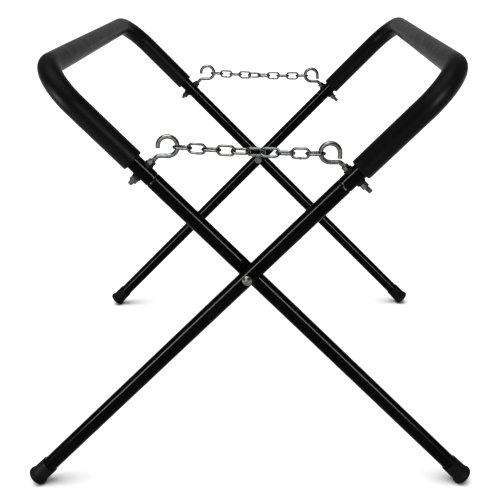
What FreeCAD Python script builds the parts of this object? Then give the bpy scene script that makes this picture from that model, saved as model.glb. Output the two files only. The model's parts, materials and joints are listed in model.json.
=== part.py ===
"""Folding sawhorse: two padded U-frames crossed as an X and held open by two short chains.

Both frames are the same welded-up shape. Frame A leans to the left at its top and carries open hook
bolts, frame B leans to the right and carries closed eye bolts. B is A turned half round the vertical.
Each frame is built in its own plane: X runs along the padded crossbar, Y up the legs from the pivot
line and Z square to the frame, towards the inside of the X. Millimetres; +Z of the part is up.
"""
import FreeCAD
import Part
import math
import os

import Sketcher

Vector = FreeCAD.Vector
Placement = FreeCAD.Placement
Rotation = FreeCAD.Rotation

DIMENSIONS = {
    "tube_radius": 15.875,
    "tube_wall": 1.5,
    "half_width": 445.0,
    "frame_offset": 34.0,
    "lean_angle": 44.22,
    "pivot_height": 472.9,
    "arm_reach": 541.8,
    "bend_radius": 90.0,
    "joint_reach": 257.0,
    "joint_groove": 0.9,
    "swage_length": 3.0,
    "neck_radius": 14.3,
    "neck_length": 46.0,
    "leg_reach": 630.0,
    "pad_radius": 22.6,
    "pad_clearance": 0.05,
    "pad_start_a": 306.0,
    "pad_start_b": 296.0,
    "cap_reach": 642.0,
    "cap_length": 45.0,
    "cap_sole": 11.9,
    "cap_collar_radius": 17.9,
    "cap_body_radius": 18.4,
    "cap_lip_radius": 20.75,
    "cap_lip_height": 7.0,
    "cap_flare_height": 13.0,
    "cap_edge": 3.0,
    "cap_clearance": 0.03,
    "wire_radius": 4.4,
    "bolt_reach": 280.5,
    "hook_tail": 37.0,
    "eye_tail": 42.5,
    "bolt_hole_radius": 4.55,
    "hook_ring_radius": 18.5,
    "eye_ring_radius": 17.4,
    "hook_ring_distance": 67.5,
    "eye_ring_distance": 62.5,
    "elbow_radius": 8.0,
    "ring_sweep": 270.0,
    "hook_tip": 3.0,
    "eye_tip": 10.5,
    "nut_corner_radius": 8.25,
    "nut_height": 8.2,
    "lock_nut_height": 10.5,
    "nut_face_radius": 7.9,
    "thread_clearance": 0.03,
    "saddle_radius": 9.5,
    "saddle_height": 3.0,
    "saddle_skirt": 3.2,
    "washer_radius": 9.6,
    "washer_height": 1.5,
    "pivot_hole_radius": 4.45,
    "head_radius": 9.6,
    "head_height": 5.2,
    "head_crown_radius": 12.0,
    "socket_corner_radius": 2.9,
    "socket_depth": 2.6,
    "spacer_radius": 9.5,
    "side_play": 0.3,
    "pivot_tail": 3.0,
    "link_wire_radius": 2.5,
    "link_half_width": 8.6,
    "link_gap": 0.45,
    "seat_drop": 1.6,
    "chain_sag": 2.6,
}
LINKS = 10
EXTRA_TWIST = 90.0
TWISTED_LINKS = {"front": (3, 9), "rear": (3, 6)}

doc = FreeCAD.newDocument("folding_sawhorse")
sheet = doc.addObject("Spreadsheet::Sheet", "sheet")
for row, (alias, size) in enumerate(DIMENSIONS.items(), start=1):
    sheet.set("A%d" % row, alias.replace("_", " "))
    sheet.set("B%d" % row, str(size))
    sheet.setAlias("B%d" % row, alias)
doc.recompute()
nodes = []


def size(alias):
    """The value that the spreadsheet holds under this alias."""
    return float(sheet.get(alias))


def bind(thing, sizes):
    """Tie each named property of a document object to an expression of sheet cells."""
    for prop, formula in sizes.items():
        thing.setExpression(prop, formula)


def keep(thing, label, placement=None):
    """Register a finished sub-part under its own label, at its place in the sawhorse."""
    thing.Label = label
    if placement is not None:
        thing.Placement = placement
    nodes.append(thing)
    return thing


# ---- frames of reference ----------------------------------------------------------------------

def frame_place(frame):
    """Placement of a U-frame's own plane: frame B is frame A turned half round the vertical."""
    lean = math.radians(size("lean_angle"))
    along_bar = Vector(0, 1, 0)
    up_leg = Vector(-math.sin(lean), 0, math.cos(lean))
    inward = Vector(math.cos(lean), 0, math.sin(lean))
    turned = Rotation(along_bar, up_leg, inward, "XYZ")
    place_a = Placement(Vector(0, size("frame_offset") / 2, size("pivot_height")), turned)
    if frame == "a":
        return place_a
    half_turn = Placement(Vector(0, 0, 0), Rotation(Vector(0, 0, 1), 180))
    return half_turn * place_a


def leg_line(frame, end):
    """Where a leg crosses the pivot line, in its frame's own plane."""
    front_side = -1 if frame == "a" else 1
    side = front_side if end == "front" else -front_side
    return Vector(side * size("half_width"), 0, 0)


def on_leg(frame, end, reach, inward=0.0, turn=None):
    """Placement on a leg: reach up from the pivot, inward from its axis, with an extra turn."""
    spot = leg_line(frame, end) + Vector(0, reach, inward)
    return frame_place(frame) * Placement(spot, turn or Rotation())


# ---- sketch and feature helpers ---------------------------------------------------------------

def new_body(name):
    return doc.addObject("PartDesign::Body", name)


def new_sketch(body, role, name):
    """A sketch on one of the body's own origin planes."""
    sketch = body.newObject("Sketcher::SketchObject", name)
    plane = next(item for item in body.Origin.OriginFeatures if item.Role == role)
    sketch.AttachmentSupport = (plane, "")
    sketch.MapMode = "FlatFace"
    return sketch


def place_vertex(sketch, geometry, point, across, up):
    """Fix one vertex by its distances from the sketch's origin; "0" puts it on an axis."""
    x_axis = -1
    y_axis = -2
    if across == "0":
        sketch.addConstraint(Sketcher.Constraint("PointOnObject", geometry, point, y_axis))
    else:
        index = sketch.addConstraint(Sketcher.Constraint("DistanceX", -1, 1, geometry, point, 1.0))
        sketch.setExpression("Constraints[%d]" % index, across)
    if up == "0":
        sketch.addConstraint(Sketcher.Constraint("PointOnObject", geometry, point, x_axis))
    else:
        index = sketch.addConstraint(Sketcher.Constraint("DistanceY", -1, 1, geometry, point, 1.0))
        sketch.setExpression("Constraints[%d]" % index, up)


def closed_outline(sketch, corners):
    """A closed polygon whose corners are pairs of sheet expressions."""
    count = len(corners)
    spots = []
    for number in range(count):
        angle = 2 * math.pi * number / count
        spots.append(Vector(20 + 10 * math.cos(angle), 20 + 10 * math.sin(angle), 0))
    for number in range(count):
        sketch.addGeometry(Part.LineSegment(spots[number], spots[(number + 1) % count]), False)
    for number in range(count):
        sketch.addConstraint(Sketcher.Constraint("Coincident", number, 2, (number + 1) % count, 1))
    for number, (across, up) in enumerate(corners):
        place_vertex(sketch, number, 1, across, up)


def circle(sketch, radius, across="0", up="0"):
    """A circle whose radius and centre are sheet expressions."""
    index = sketch.addGeometry(Part.Circle(Vector(0, 0, 0), Vector(0, 0, 1), 5.0), False)
    rule = sketch.addConstraint(Sketcher.Constraint("Radius", index, 5.0))
    sketch.setExpression("Constraints[%d]" % rule, radius)
    place_vertex(sketch, index, 3, across, up)


def revolve(body, sketch):
    """Turn a profile all the way round the sketch's vertical axis."""
    feature = body.newObject("PartDesign::Revolution", body.Name + "_turned")
    feature.Profile = sketch
    feature.ReferenceAxis = (sketch, ["V_Axis"])
    feature.Angle = 360
    return feature


def drill(body, role, radius, across, up):
    """A round hole right through the body, square to one of its origin planes."""
    sketch = new_sketch(body, role, body.Name + "_drill_" + role[:2].lower())
    circle(sketch, radius, across, up)
    feature = body.newObject("PartDesign::Pocket", body.Name + "_hole_" + role[:2].lower())
    feature.Profile = sketch
    feature.Type = 1
    feature.Midplane = True
    return feature


def u_path(sketch, start):
    """The centre line of a U-frame: arm, bend, crossbar, bend, arm; start is the arms' lower end."""
    half = size("half_width")
    reach = size("arm_reach")
    bend = size("bend_radius")
    low = size(start)
    left = Part.LineSegment(Vector(-half, low, 0), Vector(-half, reach - bend, 0))
    bar = Part.LineSegment(Vector(bend - half, reach, 0), Vector(half - bend, reach, 0))
    right = Part.LineSegment(Vector(half, reach - bend, 0), Vector(half, low, 0))
    left_bend = Part.ArcOfCircle(
        Part.Circle(Vector(bend - half, reach - bend, 0), Vector(0, 0, 1), bend), math.pi / 2, math.pi)
    right_bend = Part.ArcOfCircle(
        Part.Circle(Vector(half - bend, reach - bend, 0), Vector(0, 0, 1), bend), 0, math.pi / 2)
    for edge in (left, left_bend, bar, right_bend, right):
        sketch.addGeometry(edge, False)
    for first, first_end, second, second_end in ((0, 2, 1, 2), (1, 1, 2, 1), (2, 2, 3, 2), (3, 1, 4, 1)):
        sketch.addConstraint(
            Sketcher.Constraint("Tangent", first, first_end, second, second_end))
    sketch.addConstraint(Sketcher.Constraint("Horizontal", 2))
    sketch.addConstraint(Sketcher.Constraint("Vertical", 0))
    sketch.addConstraint(Sketcher.Constraint("Vertical", 4))
    sketch.addConstraint(Sketcher.Constraint("Equal", 1, 3))
    rules = (
        (Sketcher.Constraint("Radius", 1, bend), "sheet.bend_radius"),
        (Sketcher.Constraint("DistanceX", 0, 1, -1, 1, half), "sheet.half_width"),
        (Sketcher.Constraint("DistanceX", -1, 1, 4, 2, half), "sheet.half_width"),
        (Sketcher.Constraint("DistanceY", -1, 1, 0, 1, low), "sheet." + start),
        (Sketcher.Constraint("DistanceY", -1, 1, 4, 2, low), "sheet." + start),
        (Sketcher.Constraint("DistanceY", -1, 1, 2, 1, reach), "sheet.arm_reach"),
    )
    for rule, formula in rules:
        index = sketch.addConstraint(rule)
        sketch.setExpression("Constraints[%d]" % index, formula)


def bent_ring(name, start, outer, inner):
    """A round hollow section carried along the U centre line: the tube and its foam sleeve."""
    body = new_body(name)
    path = new_sketch(body, "XY_Plane", name + "_path")
    u_path(path, start)
    section = new_sketch(body, "XZ_Plane", name + "_section")
    section.setExpression(".AttachmentOffset.Base.z", "-sheet." + start)
    for radius in (outer, inner):
        index = section.addGeometry(
            Part.Circle(Vector(-size("half_width"), 0, 0), Vector(0, 0, 1), 10.0), False)
        rule = section.addConstraint(Sketcher.Constraint("Radius", index, 10.0))
        section.setExpression("Constraints[%d]" % rule, radius)
        rule = section.addConstraint(
            Sketcher.Constraint("DistanceX", index, 3, -1, 1, size("half_width")))
        section.setExpression("Constraints[%d]" % rule, "sheet.half_width")
        section.addConstraint(Sketcher.Constraint("PointOnObject", index, 3, -1))
    pipe = body.newObject("PartDesign::AdditivePipe", name + "_pipe")
    pipe.Profile = section
    pipe.Spine = (path, ["Edge1", "Edge2", "Edge3", "Edge4", "Edge5"])
    return body


# ---- tubes, foam and feet ---------------------------------------------------------------------

def make_top_tube(frame):
    """The U-shaped tube: crossbar, two bends and two short arms, drilled for the chain bolts."""
    body = bent_ring("top_tube_" + frame, "joint_reach", "sheet.tube_radius",
                     "sheet.tube_radius - sheet.tube_wall")
    sketch = new_sketch(body, "XY_Plane", body.Name + "_drill")
    for side in (-1, 1):
        spot = Vector(side * size("half_width"), size("bolt_reach"), 0)
        index = sketch.addGeometry(Part.Circle(spot, Vector(0, 0, 1), 4.0), False)
        ends = (index, 3, -1, 1) if side < 0 else (-1, 1, index, 3)
        rules = (
            (Sketcher.Constraint("Radius", index, 4.0), "sheet.bolt_hole_radius"),
            (Sketcher.Constraint("DistanceX", *ends, size("half_width")), "sheet.half_width"),
            (Sketcher.Constraint("DistanceY", -1, 1, index, 3, spot.y), "sheet.bolt_reach"),
        )
        for rule, formula in rules:
            number = sketch.addConstraint(rule)
            sketch.setExpression("Constraints[%d]" % number, formula)
    holes = body.newObject("PartDesign::Pocket", body.Name + "_holes")
    holes.Profile = sketch
    holes.Type = 1
    holes.Midplane = True
    keep(body, "top_tube_" + frame, frame_place(frame))


def make_pad(frame):
    """The foam sleeve over the crossbar, both bends and the arms down to just above the bolts."""
    body = bent_ring("foam_pad_" + frame, "pad_start_" + frame, "sheet.pad_radius",
                     "sheet.tube_radius + sheet.pad_clearance")
    keep(body, "foam_pad_" + frame, frame_place(frame))


def make_leg(frame, end):
    """A straight leg tube; its swaged neck slips up into the U tube. Local Y=0 is its foot end."""
    name = "leg_%s_%s" % (frame, end)
    body = new_body(name)
    sketch = new_sketch(body, "XY_Plane", name + "_profile")
    outer = "sheet.tube_radius"
    inner = "sheet.tube_radius - sheet.tube_wall"
    neck_inner = "sheet.neck_radius - sheet.tube_wall"
    shoulder = "sheet.leg_reach + sheet.joint_reach - sheet.joint_groove - sheet.swage_length"
    neck_start = "sheet.leg_reach + sheet.joint_reach - sheet.joint_groove"
    neck_top = "sheet.leg_reach + sheet.joint_reach + sheet.neck_length"
    closed_outline(sketch, [
        (outer, "0"), (outer, shoulder), ("sheet.neck_radius", neck_start),
        ("sheet.neck_radius", neck_top), (neck_inner, neck_top), (neck_inner, neck_start),
        (inner, shoulder), (inner, "0"),
    ])
    revolve(body, sketch)
    drill(body, "XY_Plane", "sheet.bolt_hole_radius", "0", "sheet.leg_reach + sheet.bolt_reach")
    drill(body, "YZ_Plane", "sheet.pivot_hole_radius", "sheet.leg_reach", "0")
    keep(body, name, on_leg(frame, end, -size("leg_reach")))


def make_cap(frame, end):
    """A moulded rubber foot: collar, flared lip and a small flat where its edge meets the floor."""
    name = "foot_cap_%s_%s" % (frame, end)
    body = new_body(name + "_moulding")
    sketch = new_sketch(body, "XY_Plane", body.Name + "_profile")
    bore = "sheet.tube_radius + sheet.cap_clearance"
    closed_outline(sketch, [
        ("0", "0"), ("sheet.cap_lip_radius", "0"), ("sheet.cap_lip_radius", "sheet.cap_lip_height"),
        ("sheet.cap_body_radius", "sheet.cap_flare_height"),
        ("sheet.cap_collar_radius", "sheet.cap_length"), (bore, "sheet.cap_length"),
        (bore, "sheet.cap_sole"), ("0", "sheet.cap_sole"),
    ])
    turned = revolve(body, sketch)
    doc.recompute()
    lip = []
    for number, edge in enumerate(turned.Shape.Edges, start=1):
        radius = getattr(edge.Curve, "Radius", 0.0)
        if abs(radius - size("cap_lip_radius")) < 0.01:
            lip.append("Edge%d" % number)
    rounded = body.newObject("PartDesign::Fillet", body.Name + "_lip")
    rounded.Base = (turned, lip)
    bind(rounded, {"Radius": "sheet.cap_edge"})
    body.Placement = on_leg(frame, end, -size("cap_reach"))
    floor = doc.addObject("Part::Box", name + "_floor")
    floor.Length = 4 * size("cap_length")
    floor.Width = 4 * size("cap_length")
    floor.Height = size("cap_length")
    corner = body.Placement.Base - Vector(2 * size("cap_length"), 2 * size("cap_length"), 0)
    floor.Placement = Placement(Vector(corner.x, corner.y, -size("cap_length")), Rotation())
    cut = doc.addObject("Part::Cut", name)
    cut.Base = body
    cut.Tool = floor
    keep(cut, name)


# ---- fasteners --------------------------------------------------------------------------------

def rod(name, radius, length, place):
    """A round bar of wire, from the placement's origin along its Z."""
    piece = doc.addObject("Part::Cylinder", name)
    bind(piece, {"Radius": radius, "Height": length})
    piece.Placement = place
    return piece


def bent_wire(name, bend, wire, sweep, place):
    """Wire bent round the placement's Z, starting on its X axis and sweeping to the left."""
    piece = doc.addObject("Part::Torus", name)
    bind(piece, {"Radius1": bend, "Radius2": wire, "Angle3": sweep})
    piece.Placement = place
    return piece


def make_ring_bolt(frame, end, kind):
    """A hook or eye bolt: straight shank through the tube, an elbow, a level run, and the ring.

    The ring stands in the frame's X plane and is centred on the bolt's own axis. The wire leaves the
    shank, runs level under the ring, goes up the inner side, over the top and straight down the
    outer side: a short way on the hook, almost back to the elbow on the eye.
    """
    name = "%s_bolt_%s" % (kind, end)
    lean = math.radians(size("lean_angle"))
    distance = size(kind + "_ring_distance")
    ring = size(kind + "_ring_radius")
    elbow = size("elbow_radius")
    corner = distance - ring / math.sin(lean)
    trim = elbow * math.tan(lean / 2)
    # In the bolt's own plane: X is towards the chain and Z is up; the shank rises at the lean angle.
    rise = Vector(math.cos(lean), 0, math.sin(lean))
    upright = Rotation(Vector(1, 0, 0), 90)
    shank_turn = Rotation(Vector(0, 0, 1), rise)
    tail_length = size(kind + "_tail")
    tail = rise * -tail_length
    shank = rod(name + "_shank", "sheet.wire_radius", "%.6f" % (tail_length + corner - trim),
                Placement(tail, shank_turn))
    bend_start = rise * (corner - trim)
    bend_centre = bend_start + Vector(math.sin(lean), 0, -math.cos(lean)) * elbow
    bend_turn = Rotation(Vector(0, -1, 0), 90) * upright
    bend = bent_wire(name + "_elbow", "sheet.elbow_radius", "sheet.wire_radius", "sheet.lean_angle",
                     Placement(bend_centre, bend_turn))
    run_start = rise * corner + Vector(trim, 0, 0)
    ring_centre = rise * distance
    run_length = ring_centre.x - run_start.x
    run = rod(name + "_run", "sheet.wire_radius", "%.6f" % run_length,
              Placement(run_start, Rotation(Vector(0, 1, 0), 90)))
    ring_turn = Rotation(Vector(0, -1, 0), -90) * upright
    loop = bent_wire(name + "_ring", "sheet.%s_ring_radius" % kind, "sheet.wire_radius",
                     "sheet.ring_sweep", Placement(ring_centre, ring_turn))
    tip_end = ring_centre - Vector(ring, 0, size(kind + "_tip"))
    tip = rod(name + "_tip", "sheet.wire_radius", "sheet.%s_tip" % kind,
              Placement(tip_end, Rotation()))
    bolt = doc.addObject("Part::MultiFuse", name)
    bolt.Shapes = [shank, bend, run, loop, tip]
    spot = on_leg(frame, end, size("bolt_reach")).Base
    facing = Rotation() if frame == "a" else Rotation(Vector(0, 0, 1), 180)
    keep(bolt, name, Placement(spot, facing))
    return spot + facing.multVec(ring_centre)


def hex_nut(name, place, height="sheet.nut_height"):
    """A hexagon nut with crowned corners, from the placement's origin along its Z."""
    prism = doc.addObject("Part::Prism", name + "_prism")
    prism.Polygon = 6
    bind(prism, {"Circumradius": "sheet.nut_corner_radius", "Height": height})
    crown = doc.addObject("Part::Sphere", name + "_crown")
    bind(crown, {"Radius": "sqrt(sheet.nut_face_radius ^ 2 + (%s / 2) ^ 2)" % height,
                 ".Placement.Base.z": "%s / 2" % height})
    blank = doc.addObject("Part::Common", name + "_blank")
    blank.Base = prism
    blank.Tool = crown
    thread = doc.addObject("Part::Cylinder", name + "_thread")
    bind(thread, {"Radius": "sheet.wire_radius + sheet.thread_clearance",
                  "Height": "3 * " + height, ".Placement.Base.z": "-" + height})
    nut = doc.addObject("Part::Cut", name)
    nut.Base = blank
    nut.Tool = thread
    keep(nut, name, place)


def washer_disc(name, radius, height, place):
    """A flat ring for the pivot, from the placement's origin along its Z."""
    outer = doc.addObject("Part::Cylinder", name + "_outer")
    bind(outer, {"Radius": radius, "Height": height})
    hole = doc.addObject("Part::Cylinder", name + "_bore")
    bind(hole, {"Radius": "sheet.bolt_hole_radius", "Height": "3 * (%s)" % height,
                ".Placement.Base.z": "-(%s)" % height})
    ring = doc.addObject("Part::Cut", name)
    ring.Base = outer
    ring.Tool = hole
    ring.Placement = place
    return ring


def saddle_washer(name, place):
    """A plastic washer hollowed to sit on the tube: origin on the tube's surface, Z outwards."""
    disc = doc.addObject("Part::Cylinder", name + "_disc")
    bind(disc, {"Radius": "sheet.saddle_radius", "Height": "sheet.saddle_height + sheet.saddle_skirt",
                ".Placement.Base.z": "-sheet.saddle_skirt"})
    seat = doc.addObject("Part::Cylinder", name + "_seat")
    seat.Placement = Placement(Vector(), Rotation(Vector(1, 0, 0), -90))
    bind(seat, {"Radius": "sheet.tube_radius + sheet.cap_clearance", "Height": "4 * sheet.saddle_radius",
                ".Placement.Base.y": "-2 * sheet.saddle_radius",
                ".Placement.Base.z": "-sheet.tube_radius"})
    bore = doc.addObject("Part::Cylinder", name + "_bore")
    bind(bore, {"Radius": "sheet.bolt_hole_radius", "Height": "4 * sheet.saddle_skirt",
                ".Placement.Base.z": "-2 * sheet.saddle_skirt"})
    hollow = doc.addObject("Part::Cut", name + "_hollow")
    hollow.Base = disc
    hollow.Tool = seat
    washer = doc.addObject("Part::Cut", name)
    washer.Base = hollow
    washer.Tool = bore
    washer.Placement = place
    return washer


def make_bolt_fixings(frame, end, kind):
    """A saddle washer and a nut on each side of the tube, on the threaded shank; outer nut tall."""
    reach = size("bolt_reach")
    tube = size("tube_radius")
    saddle = size("saddle_height")
    flipped = Rotation(Vector(1, 0, 0), 180)
    pair = []
    for side, turn in ((1, Rotation()), (-1, flipped)):
        place = on_leg(frame, end, reach, side * tube, turn)
        label = "inner" if side > 0 else "outer"
        pair.append(saddle_washer("%s_%s_%s_washer" % (kind, end, label), place))
        spin = Rotation(Vector(0, 0, 1), 12 * side)
        nut_place = on_leg(frame, end, reach, side * (tube + saddle), turn * spin)
        height = "sheet.nut_height" if side > 0 else "sheet.lock_nut_height"
        hex_nut("%s_%s_nut_%s" % (kind, label, end), nut_place, height)
    group = doc.addObject("Part::Compound", "%s_washers_%s" % (kind, end))
    group.Links = pair
    keep(group, group.Name)


def make_pivot(end):
    """The pivot of one crossing: dome-head bolt from the outside, spacer, washer and nut."""
    outward = -1 if end == "front" else 1
    head_leg = "b" if end == "front" else "a"
    offset = size("frame_offset")
    tube = size("tube_radius")
    height = size("pivot_height")
    outer_leg = outward * (size("half_width") + offset / 2)
    play_outside = size("side_play") if head_leg == "b" else 0.0
    play_inside = size("side_play") if head_leg == "a" else 0.0
    # Local Z runs from the head towards the nut.
    inward_turn = Rotation(Vector(0, 0, 1), Vector(0, -outward, 0))
    seat = Placement(Vector(0, outer_leg + outward * (tube + play_outside), height), inward_turn)
    stack = play_outside + 2 * tube + offset + play_inside
    shank_length = stack + size("washer_height") + size("nut_height") + size("pivot_tail")
    name = "pivot_bolt_" + end
    shank = rod(name + "_shank", "sheet.wire_radius", "%.6f" % shank_length, Placement())
    crown = doc.addObject("Part::Sphere", name + "_crown")
    bind(crown, {"Radius": "sheet.head_crown_radius",
                 ".Placement.Base.z": "sheet.head_crown_radius - sheet.head_height"})
    rim = doc.addObject("Part::Cylinder", name + "_rim")
    bind(rim, {"Radius": "sheet.head_radius", "Height": "sheet.head_height",
               ".Placement.Base.z": "-sheet.head_height"})
    head = doc.addObject("Part::Common", name + "_head")
    head.Base = crown
    head.Tool = rim
    whole = doc.addObject("Part::Fuse", name + "_blank")
    whole.Base = head
    whole.Tool = shank
    socket = doc.addObject("Part::Prism", name + "_socket")
    socket.Polygon = 6
    bind(socket, {"Circumradius": "sheet.socket_corner_radius", "Height": "2 * sheet.socket_depth",
                  ".Placement.Base.z": "-sheet.head_height - sheet.socket_depth"})
    bolt = doc.addObject("Part::Cut", name)
    bolt.Base = whole
    bolt.Tool = socket
    keep(bolt, name, seat)
    # The spacer bears on frame A's leg and leaves the side play next to frame B's.
    spacer_start = 2 * (tube + play_outside)
    spacer = washer_disc("pivot_spacer_" + end, "sheet.spacer_radius",
                         "sheet.frame_offset - 2 * sheet.tube_radius - sheet.side_play",
                         seat * Placement(Vector(0, 0, spacer_start), Rotation()))
    keep(spacer, "pivot_spacer_" + end)
    washer = washer_disc("pivot_washer_" + end, "sheet.washer_radius", "sheet.washer_height",
                         seat * Placement(Vector(0, 0, stack), Rotation()))
    keep(washer, "pivot_washer_" + end)
    hex_nut("pivot_nut_" + end,
            seat * Placement(Vector(0, 0, stack + size("washer_height")), Rotation()))


# ---- chains -----------------------------------------------------------------------------------

def twist_of(end, number):
    """Turn of a link about the chain: quarter turns, plus one quarter spread over some links."""
    first, last = TWISTED_LINKS[end]
    share = min(max((number - first) / (last - first), 0.0), 1.0)
    return 90.0 * number + EXTRA_TWIST * share


def seat_on(ring_centre, radius, side):
    """Centre of a ring's wire where an end link hangs in it: a little below the ring's middle."""
    drop = size("seat_drop")
    return ring_centre + Vector(side * math.sqrt(radius ** 2 - drop ** 2), 0, -drop)


def make_chain(end, hook_ring, eye_ring):
    """A chain of oval links from the open hook to the closed eye, sagging a little at its middle."""
    wire = size("link_wire_radius")
    gap = size("link_gap")
    bend = size("link_half_width")
    hook_wire = seat_on(hook_ring, size("hook_ring_radius"), 1)
    eye_wire = seat_on(eye_ring, size("eye_ring_radius"), -1)
    line = eye_wire - hook_wire
    wrap = size("wire_radius") + wire + gap
    level = Vector(line.x, line.y, line.z).normalize()
    start = hook_wire - level * wrap
    pitch = (line.Length + 2 * wrap - 2 * wire - gap) / LINKS
    straight = pitch + 2 * wire + gap - 2 * bend
    pins = []
    for number in range(LINKS + 1):
        share = number / LINKS
        fall = 4 * size("chain_sag") * share * (1 - share)
        pins.append(start + level * (pitch * number) - Vector(0, 0, fall))
    for number in range(LINKS):
        name = "chain_%s_link_%02d" % (end, number + 1)
        direction = (pins[number + 1] - pins[number]).normalize()
        across = direction.cross(Vector(0, 0, 1)).normalize()
        along = Rotation(direction, across, direction.cross(across), "XYZ")
        turn = along * Rotation(Vector(1, 0, 0), twist_of(end, number))
        parts = []
        for side, label in ((1, "left"), (-1, "right")):
            parts.append(rod("%s_%s" % (name, label), "sheet.link_wire_radius", "%.6f" % straight,
                             Placement(Vector(bend, side * bend, 0), Rotation(Vector(0, 1, 0), 90))))
        parts.append(bent_wire(name + "_tail", "sheet.link_half_width", "sheet.link_wire_radius",
                               "180", Placement(Vector(bend, 0, 0), Rotation(Vector(0, 0, 1), 90))))
        parts.append(bent_wire(name + "_nose", "sheet.link_half_width", "sheet.link_wire_radius",
                               "180", Placement(Vector(bend + straight, 0, 0),
                                                Rotation(Vector(0, 0, 1), -90))))
        link = doc.addObject("Part::MultiFuse", name)
        link.Shapes = parts
        keep(link, name, Placement(pins[number], turn))


# ---- assembly ---------------------------------------------------------------------------------

for frame_name, bolt_kind in (("a", "hook"), ("b", "eye")):
    make_top_tube(frame_name)
    make_pad(frame_name)
    for end_name in ("front", "rear"):
        make_leg(frame_name, end_name)
        make_cap(frame_name, end_name)
        make_bolt_fixings(frame_name, end_name, bolt_kind)
for end_name in ("front", "rear"):
    hook_centre = make_ring_bolt("a", end_name, "hook")
    eye_centre = make_ring_bolt("b", end_name, "eye")
    make_pivot(end_name)
    make_chain(end_name, hook_centre, eye_centre)
    print(end_name, "hook ring", hook_centre, "eye ring", eye_centre)
doc.recompute()

for item in doc.Objects:
    if "Invalid" in item.State or "Error" in item.State:
        raise RuntimeError("%s failed: %s" % (item.Label, item.State))
for item in nodes:
    if item.Shape.isNull() or not item.Shape.isValid():
        raise RuntimeError("%s has no valid shape" % item.Label)

os.makedirs("parts", exist_ok=True)
for item in nodes:
    item.Shape.exportStep("parts/%s.step" % item.Label)
    box = item.Shape.optimalBoundingBox()
    print("%-24s %2d solid  %9.1f mm3  z %7.2f to %7.2f" % (
        item.Label, len(item.Shape.Solids), item.Shape.Volume, box.ZMin, box.ZMax))
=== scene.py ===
"""Looks for the folding sawhorse: foam sleeves, bolt threads, chain welds, finishes, studio and camera."""

import json
import math

import bpy
from mathutils import Matrix, Vector, noise

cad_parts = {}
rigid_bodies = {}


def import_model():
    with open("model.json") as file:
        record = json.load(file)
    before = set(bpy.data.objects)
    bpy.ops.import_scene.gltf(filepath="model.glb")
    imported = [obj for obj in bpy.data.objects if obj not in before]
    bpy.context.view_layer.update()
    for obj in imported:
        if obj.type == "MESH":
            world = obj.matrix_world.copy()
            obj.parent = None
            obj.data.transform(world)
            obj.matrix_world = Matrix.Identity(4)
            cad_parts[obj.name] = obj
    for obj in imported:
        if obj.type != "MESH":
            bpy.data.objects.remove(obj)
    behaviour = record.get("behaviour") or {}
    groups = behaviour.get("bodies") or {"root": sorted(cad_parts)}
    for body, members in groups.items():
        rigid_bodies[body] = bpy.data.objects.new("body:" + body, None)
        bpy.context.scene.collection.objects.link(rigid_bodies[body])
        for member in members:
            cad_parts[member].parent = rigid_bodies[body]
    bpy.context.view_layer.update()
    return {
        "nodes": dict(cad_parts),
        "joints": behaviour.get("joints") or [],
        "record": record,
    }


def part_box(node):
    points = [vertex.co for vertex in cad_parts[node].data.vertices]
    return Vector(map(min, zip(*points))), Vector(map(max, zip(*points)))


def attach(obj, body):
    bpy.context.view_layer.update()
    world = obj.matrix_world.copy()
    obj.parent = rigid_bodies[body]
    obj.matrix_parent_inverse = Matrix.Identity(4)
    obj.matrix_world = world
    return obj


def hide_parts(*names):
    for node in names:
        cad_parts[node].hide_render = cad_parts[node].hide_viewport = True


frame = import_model()

MM = 0.001
FULL_TURN = 2 * math.pi

# ---- driving sizes that the frame gives ---------------------------------------------------------

joints = {joint["name"]: joint for joint in frame["joints"]}
pivot = Vector(joints["fold"]["pos_m"])
leg_low, leg_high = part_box("leg_a_front")
tube_low, tube_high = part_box("top_tube_a")
pad_low, pad_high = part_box("foam_pad_a")
tube_radius = (leg_high[1] - leg_low[1]) / 2
pad_radius = tube_radius + ((pad_high[1] - pad_low[1]) - (tube_high[1] - tube_low[1])) / 2
half_width = (tube_high[1] - tube_low[1]) / 2 - tube_radius
frame_shift = (tube_high[1] + tube_low[1]) / 2
bar_x = pad_low[0] + pad_radius
bar_z = pad_high[2] - pad_radius
lean = math.atan2(pivot.x - bar_x, bar_z - pivot.z)
arm_reach = math.hypot(pivot.x - bar_x, bar_z - pivot.z)
BEND_RADIUS = 90 * MM


def leg_reach_of(lowest, radius):
    """How far up a leg from the pivot line a round section ends, from its lowest point's height."""
    return (lowest - pivot.z + radius * math.sin(lean)) / math.cos(lean)


joint_reach = leg_reach_of(tube_low[2], tube_radius)
pad_starts = {side: leg_reach_of(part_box("foam_pad_" + side)[0][2], pad_radius) for side in ("a", "b")}


def frame_matrix(side):
    """A U-frame's own plane: X along the crossbar, Y up the legs, Z square to it, inside the X."""
    up_leg = Vector((-math.sin(lean), 0, math.cos(lean)))
    inward = Vector((math.cos(lean), 0, math.sin(lean)))
    turned = Matrix((Vector((0, 1, 0)), up_leg, inward)).transposed().to_4x4()
    place = Matrix.Translation(Vector((0, frame_shift, pivot.z))) @ turned
    if side == "b":
        return Matrix.Rotation(math.pi, 4, "Z") @ place
    return place


def middle_of(name):
    """The middle of a CAD node's box."""
    low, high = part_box(name)
    return (Vector(low) + Vector(high)) / 2


def along_z(start, direction):
    """Placement whose origin is start and whose Z runs along direction."""
    return Matrix.Translation(start) @ Vector((0, 0, 1)).rotation_difference(direction).to_matrix().to_4x4()


# ---- mesh helpers -------------------------------------------------------------------------------

def new_piece(name, verts, faces):
    """A smooth-shaded mesh object in the shared frame."""
    mesh = bpy.data.meshes.new(name)
    mesh.from_pydata([tuple(v) for v in verts], [], faces)
    mesh.validate()
    mesh.update()
    piece = bpy.data.objects.new(name, mesh)
    bpy.context.scene.collection.objects.link(piece)
    mesh.polygons.foreach_set("use_smooth", [True] * len(mesh.polygons))
    return piece


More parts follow.
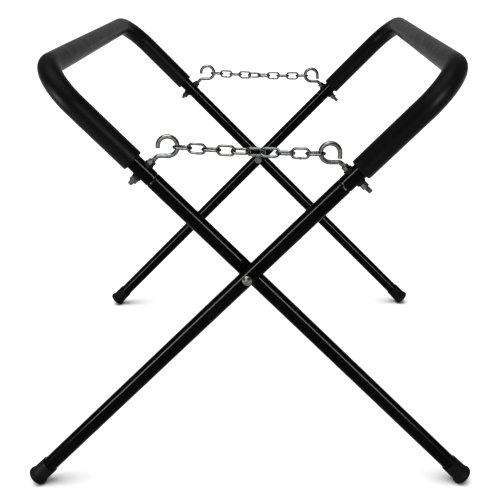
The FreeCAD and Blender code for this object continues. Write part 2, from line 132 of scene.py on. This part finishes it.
def loft(rings, closed=True):
    """Quads between rings of equal length, with the first and last ring capped if closed."""
    verts = [point for ring in rings for point in ring]
    count = len(rings[0])
    faces = []
    for row in range(len(rings) - 1):
        for step in range(count):
            after = (step + 1) % count
            faces.append((row * count + step, row * count + after,
                          (row + 1) * count + after, (row + 1) * count + step))
    if closed:
        faces.append(tuple(reversed(range(count))))
        faces.append(tuple((len(rings) - 1) * count + step for step in range(count)))
    return verts, faces


# ---- foam sleeves -------------------------------------------------------------------------------

FOAM_STEP = 2.2 * MM
FOAM_SIDES = 72
FOAM_SLACK = 0.35 * MM
FOAM_EDGE = 2.4 * MM
FOAM_BORE_SLACK = 0.25 * MM
FOAM_MOUTH = 0.5 * MM
FOAM_EDGE_STEPS = 6
FOAM_UNEVEN = 0.18 * MM
FOAM_UNEVEN_ALONG = 5
FOAM_UNEVEN_AROUND = 0.8
FOAM_CREASE = 0.6 * MM
FOAM_CREASE_PITCH = 13 * MM
FOAM_CREASE_WANDER = 2.2
FOAM_WANDER_ALONG = 22
BORE_RING_EVERY = 3


def u_station(travel, pad_start):
    """Point, direction and bend share at a distance along the U centre line, in the frame's plane."""
    arm = arm_reach - BEND_RADIUS - pad_start
    arc = BEND_RADIUS * math.pi / 2
    bar = 2 * (half_width - BEND_RADIUS)
    if travel <= arm:
        return Vector((-half_width, pad_start + travel, 0)), Vector((0, 1, 0)), 0.0
    travel -= arm
    if travel <= arc:
        angle = travel / BEND_RADIUS
        centre = Vector((BEND_RADIUS - half_width, arm_reach - BEND_RADIUS, 0))
        out = Vector((-math.cos(angle), math.sin(angle), 0))
        along = Vector((math.sin(angle), math.cos(angle), 0))
        return centre + out * BEND_RADIUS, along, math.sin(2 * angle)
    travel -= arc
    if travel <= bar:
        return Vector((BEND_RADIUS - half_width + travel, arm_reach, 0)), Vector((1, 0, 0)), 0.0
    travel -= bar
    if travel <= arc:
        angle = travel / BEND_RADIUS
        centre = Vector((half_width - BEND_RADIUS, arm_reach - BEND_RADIUS, 0))
        out = Vector((math.sin(angle), math.cos(angle), 0))
        along = Vector((math.cos(angle), -math.sin(angle), 0))
        return centre + out * BEND_RADIUS, along, math.sin(2 * angle)
    travel -= arc
    return Vector((half_width, arm_reach - BEND_RADIUS - travel, 0)), Vector((0, -1, 0)), 0.0


def foam_radius(travel, length, around, bend, seed):
    """Sleeve radius: slack skin, gentle unevenness, shallow creases inside the bends, rounded ends."""
    spot = Vector((travel * FOAM_UNEVEN_ALONG, math.cos(around) * FOAM_UNEVEN_AROUND + seed,
                   math.sin(around) * FOAM_UNEVEN_AROUND))
    radius = pad_radius - FOAM_SLACK + FOAM_UNEVEN * noise.noise(spot)
    inside = max(0.0, -math.cos(around)) ** 2
    wander = FOAM_CREASE_WANDER * noise.noise(Vector((travel * FOAM_WANDER_ALONG, seed * 3, around)))
    wave = 0.5 + 0.5 * math.cos(FULL_TURN * travel / FOAM_CREASE_PITCH + wander)
    radius -= FOAM_CREASE * bend * inside * wave ** 3
    near_end = min(travel, length - travel)
    if near_end < FOAM_EDGE:
        radius -= FOAM_EDGE - math.sqrt(FOAM_EDGE ** 2 - (FOAM_EDGE - near_end) ** 2)
    return radius


def make_foam(side, seed):
    """A closed-cell foam sleeve over one U tube, with its bore showing round the tube at both ends."""
    pad_start = pad_starts[side]
    length = 2 * (arm_reach - BEND_RADIUS - pad_start) + BEND_RADIUS * math.pi
    length += 2 * (half_width - BEND_RADIUS)
    place = frame_matrix(side)
    steps = int(length / FOAM_STEP)
    travels = [length * number / steps for number in range(steps + 1)]
    quarter_steps = [math.pi / 2 * number / FOAM_EDGE_STEPS for number in range(FOAM_EDGE_STEPS)]
    start = [FOAM_EDGE * (1 - math.cos(angle)) for angle in quarter_steps]
    travels = start + [t for t in travels if FOAM_EDGE <= t <= length - FOAM_EDGE]
    travels += [length - t for t in reversed(start)]
    rings = []

    def ring(travel, radius_of):
        """Points round the sleeve at one distance along it."""
        spot, along, bend = u_station(travel, pad_start)
        out = Vector((-along.y, along.x, 0))
        up = Vector((0, 0, 1))
        points = []
        for step in range(FOAM_SIDES):
            around = FULL_TURN * step / FOAM_SIDES
            radius = radius_of(around, bend)
            offset = out * (radius * math.cos(around)) + up * (radius * math.sin(around))
            points.append(place @ (spot + offset))
        return points

    bore = tube_radius + FOAM_BORE_SLACK
    for travel in travels:
        rings.append(ring(travel, lambda around, bend: foam_radius(travel, length, around, bend, seed)))
    rings.append(ring(length, lambda around, bend: bore + FOAM_MOUTH))
    for travel in reversed(travels[1:-1:BORE_RING_EVERY]):
        rings.append(ring(travel, lambda around, bend: bore))
    rings.append(ring(0.0, lambda around, bend: bore + FOAM_MOUTH))
    verts, faces = loft(rings, closed=False)
    # The last ring, at the bore's mouth, is joined back to the first one, on the skin.
    last = len(verts) - FOAM_SIDES
    for step in range(FOAM_SIDES):
        after = (step + 1) % FOAM_SIDES
        faces.append((last + step, last + after, after, step))
    piece = new_piece("foam_sleeve_" + side, verts, faces)
    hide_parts("foam_pad_" + side)
    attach(piece, "frame_" + side)
    return piece


# ---- bolt threads and chain welds -----------------------------------------------------------------

THREAD_PITCH = 1.41 * MM
THREAD_RISE = 0.34 * MM
THREAD_ROOT_DEPTH = 0.06 * MM
THREAD_HALF_BASE = 0.46 * THREAD_PITCH
THREAD_HALF_CREST = 0.1 * THREAD_PITCH
THREAD_SIDES = 28


def thread_mesh(place, radius, length):
    """A rolled thread: one ridge wound round a shank, from the placement's origin along its Z."""
    turns = length / THREAD_PITCH - 1
    count = int(turns * THREAD_SIDES)
    root = radius - THREAD_ROOT_DEPTH
    rings = []
    for step in range(count + 1):
        angle = FULL_TURN * step / THREAD_SIDES
        height = THREAD_PITCH * (0.5 + step / THREAD_SIDES)
        fade = min(step, count - step) / THREAD_SIDES
        crest = radius + THREAD_RISE * min(fade * 2, 1.0)
        out = Vector((math.cos(angle), math.sin(angle), 0))
        section = ((root, -THREAD_HALF_BASE), (crest, -THREAD_HALF_CREST),
                   (crest, THREAD_HALF_CREST), (root, THREAD_HALF_BASE))
        rings.append([place @ (out * r + Vector((0, 0, height + z))) for r, z in section])
    return loft(rings)


def joined_piece(name, body, meshes):
    """Several (verts, faces) meshes as one piece that rides with a body."""
    verts = []
    faces = []
    for more, quads in meshes:
        faces += [tuple(index + len(verts) for index in quad) for quad in quads]
        verts += more
    piece = new_piece(name, verts, faces)
    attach(piece, body)
    return piece


# An eye bolt is bent in one plane, so that its thickness across that plane is its wire.
SHANK_RADIUS = (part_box("eye_bolt_front")[1][1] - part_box("eye_bolt_front")[0][1]) / 2
INNER_THREAD = 10 * MM


def ring_bolt_threads(kind, side, end):
    """Threads on a hook or eye bolt: the tail outside the outer nut and a stretch inside the inner."""
    inward = frame_matrix(side).to_3x3() @ Vector((0, 0, 1))
    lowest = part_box("%s_bolt_%s" % (kind, end))[0][2]
    outer_nut = middle_of("%s_outer_nut_%s" % (kind, end))
    inner_nut = middle_of("%s_inner_nut_%s" % (kind, end))
    # The shank's end disc has its lowest point at the bolt's lowest corner.
    tail_z = lowest + SHANK_RADIUS * math.cos(lean)
    tail = outer_nut + inward * ((tail_z - outer_nut.z) / inward.z)
    outside = thread_mesh(along_z(tail, inward), SHANK_RADIUS, (outer_nut - tail).length)
    inside = thread_mesh(along_z(inner_nut, inward), SHANK_RADIUS, INNER_THREAD)
    return joined_piece("%s_thread_%s" % (kind, end), "frame_" + side, [outside, inside])


def pivot_threads(end):
    """Threads on the pivot bolt's end, past its nut."""
    low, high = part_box("pivot_bolt_" + end)
    nut = middle_of("pivot_nut_" + end)
    outward = -1 if end == "front" else 1
    inner_end = high[1] if end == "front" else low[1]
    place = along_z(Vector((nut.x, inner_end, nut.z)), Vector((0, outward, 0)))
    thread = thread_mesh(place, SHANK_RADIUS, abs(inner_end - nut.y))
    return joined_piece("pivot_thread_" + end, "frame_a", [thread])


WELD_LENGTH = 5.0 * MM
WELD_RISE = 0.32 * MM
WELD_SINK = 0.05 * MM
WELD_RIPPLE = 0.08 * MM
WELD_RIPPLE_RATE = 31
WELD_WOBBLE = 0.03
WELD_WOBBLE_ALONG = 4
WELD_SIDES = 28
WELD_STEPS = 14
LINK_WIRE = 2.5 * MM


def link_axes(name, along):
    """A link's middle and its half width as a vector, the farthest that it reaches off the chain's line."""
    middle = middle_of(name)
    across = Vector((0, 0, 0))
    for vertex in frame["nodes"][name].data.vertices:
        arm = vertex.co - middle
        arm -= along * arm.dot(along)
        if arm.length > across.length:
            across = arm
    return middle, across


def weld_mesh(place, number):
    """One weld bead round the wire, centred on the placement's origin along its Z."""
    rings = []
    for step in range(WELD_STEPS + 1):
        share = step / WELD_STEPS
        swell = math.sin(math.pi * share)
        ripple = WELD_RIPPLE * math.sin(share * WELD_RIPPLE_RATE + number)
        bead = LINK_WIRE - WELD_SINK + (WELD_RISE + ripple) * swell
        ring = []
        for corner in range(WELD_SIDES):
            angle = FULL_TURN * corner / WELD_SIDES
            spot = Vector((share * WELD_WOBBLE_ALONG, math.cos(angle), number + math.sin(angle)))
            radius = bead * (1 + WELD_WOBBLE * noise.noise(spot))
            ring.append(place @ Vector((radius * math.cos(angle), radius * math.sin(angle),
                                        WELD_LENGTH * (share - 0.5))))
        rings.append(ring)
    return loft(rings)


def make_welds(chain):
    """The butt weld of each link: a low swelling half way along one of its straight sides."""
    names = sorted(name for name in frame["nodes"] if name.startswith("chain_%s_link" % chain))
    along = (middle_of(names[-1]) - middle_of(names[0])).normalized()
    beads = []
    for number, name in enumerate(names):
        middle, across = link_axes(name, along)
        side = 1 if number % 2 else -1
        wire_middle = middle + across.normalized() * side * (across.length - LINK_WIRE)
        beads.append(weld_mesh(along_z(wire_middle, along), number))
    return joined_piece("chain_%s_welds" % chain, "chain_" + chain, beads)


# ---- materials ----------------------------------------------------------------------------------

# Half width of the band at the leg joint where lighter spots are painted into the enamel: partly chipped
# paint, partly painted glints.
CHIP_AND_GLINT_BAND = 2.2 * MM
DUST_HEIGHT = 9 * MM


class Finish:
    """A procedural material under construction: its tree, its shader and its coordinates in metres."""

    def __init__(self, name, **constants):
        self.material = bpy.data.materials.new(name)
        self.material.use_nodes = True
        self.tree = self.material.node_tree
        self.shader = self.tree.nodes["Principled BSDF"]
        for socket, value in constants.items():
            self.shader.inputs[socket.replace("_", " ")].default_value = value
        coordinates = self.tree.nodes.new("ShaderNodeTexCoord")
        self.place = coordinates.outputs["Object"]

    def node(self, kind, links=None, **settings):
        """A node with its properties set and its inputs linked or set by number or name."""
        item = self.tree.nodes.new(kind)
        for key, value in settings.items():
            setattr(item, key, value)
        for socket, value in (links or {}).items():
            target = item.inputs[socket]
            if isinstance(value, bpy.types.NodeSocket):
                self.tree.links.new(value, target)
            else:
                target.default_value = value
        return item

    def speckle(self, scale, detail=4.0, roughness=0.55, stretch=None):
        """Noise from 0 to 1, scale in cells a metre."""
        where = self.place
        if stretch:
            where = self.node("ShaderNodeMapping", {"Vector": self.place, "Scale": stretch}).outputs[0]
        inputs = {"Vector": where, "Scale": scale, "Detail": detail, "Roughness": roughness}
        return self.node("ShaderNodeTexNoise", inputs).outputs["Fac"]

    def ramp(self, value, stops):
        """Map a value through (position, colour or grey) stops."""
        item = self.node("ShaderNodeValToRGB", {"Fac": value})
        elements = item.color_ramp.elements
        while len(elements) < len(stops):
            elements.new(0.5)
        for element, (position, colour) in zip(elements, stops):
            element.position = position
            grey = (colour, colour, colour) if isinstance(colour, float) else colour
            element.color = (*grey, 1.0)
        return item.outputs["Color"]

    def maths(self, operation, first, second=0.0):
        """The result of one sum on sockets or numbers."""
        return self.node("ShaderNodeMath", {0: first, 1: second}, operation=operation).outputs[0]

    def mix(self, share, first, second, blend="MIX"):
        """Colour mix; share is a value or a socket."""
        item = self.node("ShaderNodeMix", {0: share}, data_type="RGBA", blend_type=blend)
        for index, value in ((6, first), (7, second)):
            if isinstance(value, bpy.types.NodeSocket):
                self.tree.links.new(value, item.inputs[index])
            else:
                item.inputs[index].default_value = value
        return item.outputs[2]

    def set(self, socket, value):
        """Link a value to one of the shader's own inputs."""
        self.tree.links.new(value, self.shader.inputs[socket])

    def bump(self, layers):
        """Chain of bumps; layers are (height socket, strength, distance in metres)."""
        normal = None
        for height, strength, distance in layers:
            inputs = {"Height": height, "Strength": strength, "Distance": distance}
            if normal is not None:
                inputs["Normal"] = normal
            normal = self.node("ShaderNodeBump", inputs).outputs["Normal"]
        self.set("Normal", normal)

    def leg_coordinate(self):
        """Distance up a leg from the pivot line, for both leaning frames above the pivot."""
        parts = self.node("ShaderNodeSeparateXYZ", {"Vector": self.place})
        across = self.maths("MULTIPLY", self.maths("ABSOLUTE", parts.outputs["X"]), math.sin(lean))
        lifted = self.maths("SUBTRACT", parts.outputs["Z"], pivot.z)
        return self.maths("ADD", across, self.maths("MULTIPLY", lifted, math.cos(lean)))

    def band(self, value, middle, half):
        """1 at middle, fading to 0 at half either side."""
        away = self.maths("ABSOLUTE", self.maths("SUBTRACT", value, middle))
        share = self.maths("SUBTRACT", 1.0, self.maths("DIVIDE", away, half))
        return self.maths("MAXIMUM", share, 0.0)


def enamel():
    """Black powder coat on steel tube: fine orange peel, faint handling marks, and lighter spots at the
    joints that are partly chipped paint and partly painted glints.
    """
    look = Finish("black_enamel", Roughness=0.2, Specular_IOR_Level=0.025)
    cloud = look.speckle(9.0, 5.0)
    tone = look.ramp(cloud, ((0.35, (0.0003, 0.0003, 0.00035)), (0.7, (0.0007, 0.0007, 0.0008))))
    scuff = look.ramp(look.speckle(60.0, 9.0, 0.72, stretch=(1, 3, 1)), ((0.69, 0.0), (0.78, 1.0)))
    faint = look.maths("MULTIPLY", scuff, 0.35)
    tone = look.mix(faint, tone, (0.007, 0.007, 0.0075, 1))
    # Lighter grey spots in a band at the leg joint: partly chipped paint, and partly painted glints that
    # stand in for highlights on the joint groove.
    chip_and_painted_glint_noise = look.ramp(look.speckle(260.0, 3.0, 0.6), ((0.62, 0.0), (0.68, 1.0)))
    near_joint = look.band(look.leg_coordinate(), joint_reach, CHIP_AND_GLINT_BAND)
    chip_and_painted_glint_mask = look.maths("MULTIPLY", chip_and_painted_glint_noise, near_joint)
    tone = look.mix(chip_and_painted_glint_mask, tone, (0.09, 0.09, 0.093, 1))
    look.set("Base Color", tone)
    look.set("Roughness", look.ramp(look.speckle(34.0, 6.0), ((0.3, 0.13), (0.75, 0.22))))
    peel = look.speckle(620.0, 2.0, 0.4)
    look.bump(((peel, 0.05, 0.06 * MM), (scuff, 0.1, 0.02 * MM)))
    return look.material


def foam():
    """Closed-cell foam: matte skin with fine pores and a slightly rubbed grain."""
    look = Finish("black_foam", Roughness=0.42, Specular_IOR_Level=0.06, Sheen_Weight=0.005,
                  Sheen_Roughness=0.5)
    cloud = look.speckle(11.0, 6.0, 0.6)
    tone = look.ramp(cloud, ((0.3, (0.0008, 0.0008, 0.0009)), (0.72, (0.0018, 0.0018, 0.002))))
    rub = look.ramp(look.speckle(90.0, 8.0, 0.7), ((0.6, 0.0), (0.8, 1.0)))
    tone = look.mix(look.maths("MULTIPLY", rub, 0.3), tone, (0.005, 0.005, 0.0052, 1))
    cells = look.node("ShaderNodeTexVoronoi", {"Vector": look.place, "Scale": 950.0})
    pores = look.ramp(cells.outputs["Distance"], ((0.0, 0.0), (0.35, 1.0)))
    look.set("Base Color", look.mix(0.25, tone, look.mix(pores, (0.001, 0.001, 0.001, 1), tone)))
    look.set("Roughness", look.ramp(look.speckle(48.0, 5.0), ((0.3, 0.38), (0.75, 0.48))))
    look.bump(((pores, 0.15, 0.1 * MM), (look.speckle(420.0, 5.0, 0.6), 0.2, 0.12 * MM)))
    return look.material


def rubber():
    """Moulded rubber foot: dull, faint flow marks, dust where it meets the floor."""
    look = Finish("black_rubber", Roughness=0.6, Specular_IOR_Level=0.05)
    tone = look.ramp(look.speckle(40.0, 6.0), ((0.3, 0.0016), (0.75, 0.004)))
    height = look.node("ShaderNodeSeparateXYZ", {"Vector": look.place}).outputs["Z"]
    near_floor = look.band(height, 0.0, DUST_HEIGHT)
    patches = look.ramp(look.speckle(150.0, 6.0, 0.7), ((0.45, 0.0), (0.7, 0.5)))
    dust = look.maths("MULTIPLY", near_floor, patches)
    look.set("Base Color", look.mix(dust, tone, (0.045, 0.044, 0.041, 1)))
    look.set("Roughness", look.ramp(look.speckle(70.0, 4.0), ((0.3, 0.5), (0.7, 0.72))))
    grain = look.speckle(700.0, 3.0, 0.5)
    flow = look.speckle(120.0, 2.0)
    look.bump(((grain, 0.2, 0.1 * MM), (flow, 0.2, 0.2 * MM)))
    return look.material


def plated(name, dark, bright, smooth, rough, grain):
    """Zinc plate from a dark to a bright tone, with patchy gloss, fine scratches and small pits."""
    look = Finish(name, Metallic=1.0, Roughness=rough)
    tone = look.ramp(look.speckle(130.0, 6.0, 0.6), ((0.3, dark), (0.72, bright)))
    blue = look.ramp(look.speckle(55.0, 2.0), ((0.45, (1.0, 0.99, 0.95)), (0.65, (0.94, 0.98, 1.0))))
    tinted = look.mix(1.0, tone, blue, "MULTIPLY")
    pits = look.ramp(look.speckle(900.0, 4.0, 0.7), ((0.66, 0.0), (0.74, 1.0)))
    soiled = look.mix(look.maths("MULTIPLY", pits, 0.5), tinted, (0.12, 0.12, 0.115, 1))
    look.set("Base Color", soiled)
    look.set("Roughness", look.ramp(look.speckle(210.0, 5.0), ((0.3, smooth), (0.75, rough))))
    scratches = look.speckle(grain, 3.0, 0.6, stretch=(1, 1, 6))
    look.bump(((scratches, 0.12, 0.05 * MM), (pits, 0.2, 0.05 * MM)))
    return look.material


def nylon():
    """Dull black nylon washer with a faint moulding grain."""
    look = Finish("spacer_plastic", Roughness=0.5, Specular_IOR_Level=0.1)
    look.set("Base Color", look.ramp(look.speckle(200.0, 4.0), ((0.3, 0.004), (0.7, 0.009))))
    look.bump(((look.speckle(1500.0, 2.0), 0.15, 0.05 * MM),))
    return look.material


def pale_floor():
    """A plain, matte, nearly white floor."""
    look = Finish("studio_floor", Roughness=0.85, Specular_IOR_Level=0.1)
    look.set("Base Color", look.ramp(look.speckle(1.5, 3.0), ((0.3, 0.925), (0.7, 0.945))))
    return look.material


def paint(piece, material):
    """Give a piece or a CAD node its one material."""
    slots = piece.data.materials
    if not slots:
        slots.append(material)
    for index in range(len(slots)):
        slots[index] = material


# ---- build ----------------------------------------------------------------------------------------

finishes = {
    "black_enamel": enamel(),
    "black_foam": foam(),
    "black_rubber": rubber(),
    "zinc_plate": plated("zinc_plate", (0.045, 0.046, 0.045), (0.17, 0.173, 0.17), 0.12, 0.24, 900.0),
    "chain_plate": plated("chain_plate", (0.032, 0.033, 0.032), (0.125, 0.128, 0.126), 0.13, 0.24, 1200.0),
    "pivot_plate": plated("pivot_plate", (0.06, 0.06, 0.058), (0.2, 0.2, 0.195), 0.14, 0.28, 1000.0),
    "spacer_plastic": nylon(),
}
for entry in frame["record"]["subparts"]:
    paint(frame["nodes"][entry["node"]], finishes[entry["material_slot"]])

for seed, side_name in enumerate(("a", "b")):
    paint(make_foam(side_name, seed * 7.3), finishes["black_foam"])
for end_name in ("front", "rear"):
    paint(ring_bolt_threads("hook", "a", end_name), finishes["zinc_plate"])
    paint(ring_bolt_threads("eye", "b", end_name), finishes["zinc_plate"])
    paint(pivot_threads(end_name), finishes["pivot_plate"])
    paint(make_welds(end_name), finishes["chain_plate"])

# ---- studio and camera ------------------------------------------------------------------------------

FLOOR_HALF = 30.0
STAND_MIDDLE = Vector((0, 0, 0.5))
WORLD_HORIZON = 0.22
WORLD_TOP = 0.6
HORIZON_BAND = 0.25
PANEL_DIRECTION = Vector((-0.15, -0.2, 1.0))
PANEL_ANGLE = math.radians(60)
PANEL_POWER = 2.7
CAMERA_SPOT = Vector((0.0555, -1.8741, 1.0773))
CAMERA_YAW = -0.0548
CAMERA_PITCH = 0.3264
CAMERA_ROLL = -0.0123
CAMERA_SENSOR = 36.0
CAMERA_LENS = 58.0
CAMERA_SHIFT = (0.03, -0.07)
CAMERA_FAR = 200.0


def make_floor():
    """The floor that the stand stands on, wide enough to fill the picture."""
    half = FLOOR_HALF
    corners = [(-half, -half, 0), (half, -half, 0), (half, half, 0), (-half, half, 0)]
    floor = new_piece("studio_floor", corners, [(0, 1, 2, 3)])
    paint(floor, pale_floor())


def area_light(name, direction, distance, width, height, power, long_axis, lit):
    """A soft box seen from the stand along direction, height along long_axis; it lights only lit."""
    light = bpy.data.lights.new(name, "AREA")
    light.shape = "RECTANGLE"
    light.size = width
    light.size_y = height
    light.energy = power
    lamp = bpy.data.objects.new(name, light)
    outward = Vector(direction).normalized()
    across = Vector(long_axis).cross(outward).normalized()
    along = outward.cross(across)
    turned = Matrix((across, along, outward)).transposed().to_4x4()
    lamp.matrix_world = Matrix.Translation(STAND_MIDDLE + outward * distance) @ turned
    bpy.context.scene.collection.objects.link(lamp)
    group = bpy.data.collections.new(name + "_lights")
    for piece in lit:
        group.objects.link(piece)
    lamp.light_linking.receiver_collection = group


def pieces_called(*starts):
    """The visible meshes whose names begin in one of these ways."""
    shown = bpy.context.scene.objects
    return [piece for piece in shown if piece.type == "MESH" and piece.name.startswith(starts)]


def make_sky_panel():
    """A broad overhead panel, far enough away to light the whole floor evenly."""
    light = bpy.data.lights.new("overhead", "SUN")
    light.angle = PANEL_ANGLE
    light.energy = PANEL_POWER
    lamp = bpy.data.objects.new("overhead", light)
    lamp.matrix_world = Vector((0, 0, 1)).rotation_difference(PANEL_DIRECTION).to_matrix().to_4x4()
    bpy.context.scene.collection.objects.link(lamp)


def make_world():
    """A soft room: pale overhead, dimmer towards the horizon, so that bright metal has contrast."""
    world = bpy.data.worlds.new("studio")
    world.use_nodes = True
    tree = world.node_tree
    background = tree.nodes["Background"]
    ray = tree.nodes.new("ShaderNodeTexCoord")
    parts = tree.nodes.new("ShaderNodeSeparateXYZ")
    ramp = tree.nodes.new("ShaderNodeValToRGB")
    tree.links.new(ray.outputs["Generated"], parts.inputs[0])
    tree.links.new(parts.outputs["Z"], ramp.inputs["Fac"])
    tree.links.new(ramp.outputs["Color"], background.inputs["Color"])
    stops = ((0.0, WORLD_HORIZON), (HORIZON_BAND, WORLD_HORIZON), (1.0, WORLD_TOP))
    ramp.color_ramp.elements.new(0.5)
    for element, (position, grey) in zip(ramp.color_ramp.elements, stops):
        element.position = position
        element.color = (grey, grey, grey, 1.0)
    background.inputs["Strength"].default_value = 1.0
    bpy.context.scene.world = world


def make_camera():
    """A view along the crossbars from above and a little to the right of the stand."""
    forward = Vector((math.sin(CAMERA_YAW) * math.cos(CAMERA_PITCH),
                      math.cos(CAMERA_YAW) * math.cos(CAMERA_PITCH), -math.sin(CAMERA_PITCH)))
    level = Vector((math.cos(CAMERA_YAW), -math.sin(CAMERA_YAW), 0))
    raised = level.cross(forward)
    right = level * math.cos(CAMERA_ROLL) + raised * math.sin(CAMERA_ROLL)
    up = raised * math.cos(CAMERA_ROLL) - level * math.sin(CAMERA_ROLL)
    turned = Matrix((right, up, -forward)).transposed().to_4x4()
    data = bpy.data.cameras.new("camera")
    data.sensor_width = CAMERA_SENSOR
    data.lens = CAMERA_LENS
    data.shift_x, data.shift_y = CAMERA_SHIFT
    data.clip_end = CAMERA_FAR
    camera = bpy.data.objects.new("camera", data)
    camera.matrix_world = Matrix.Translation(CAMERA_SPOT) @ turned
    bpy.context.scene.collection.objects.link(camera)
    bpy.context.scene.camera = camera


make_floor()
make_world()
leg_rise = (math.sin(lean), 0, math.cos(lean))
leg_fall = (-math.sin(lean), 0, math.cos(lean))
tubes = pieces_called("top_tube", "leg_")
soft = pieces_called("foam_sleeve", "foot_cap")
metal = pieces_called("hook_", "eye_", "chain_", "pivot_")
upright = (0, 0, 1)
sideways = (1, 0, 0)
# Direction from the stand, distance, width, height, watts, the axis of the height, and what it lights.
soft_boxes = {
    "strip_left": ((-0.725, -0.573, 0.353), 3.2, 0.5, 2.6, 450, leg_rise, tubes),
    "strip_right": ((0.66, -0.65, 0.353), 3.2, 0.5, 2.6, 450, leg_fall, tubes),
    "foam_back": ((0, 0.93, 0.35), 3.2, 4.0, 1.6, 10, upright, soft),
    "foam_left": ((-0.85, -0.5, -0.1), 3.0, 0.6, 0.6, 120, upright, soft),
    "foam_right": ((0.45, -0.8, 0.3), 3.0, 0.6, 0.6, 90, upright, soft),
    "metal_top": ((-0.3, -0.7, 1.0), 3.0, 2.0, 1.4, 45, sideways, metal),
    "metal_front": ((-0.25, -1.0, 0.2), 3.0, 2.0, 2.0, 30, upright, metal),
}
for light_name, settings in soft_boxes.items():
    area_light(light_name, *settings)
make_sky_panel()
make_camera()
bpy.context.scene.view_settings.view_transform = "Standard"
bpy.context.scene.view_settings.look = "Medium High Contrast"
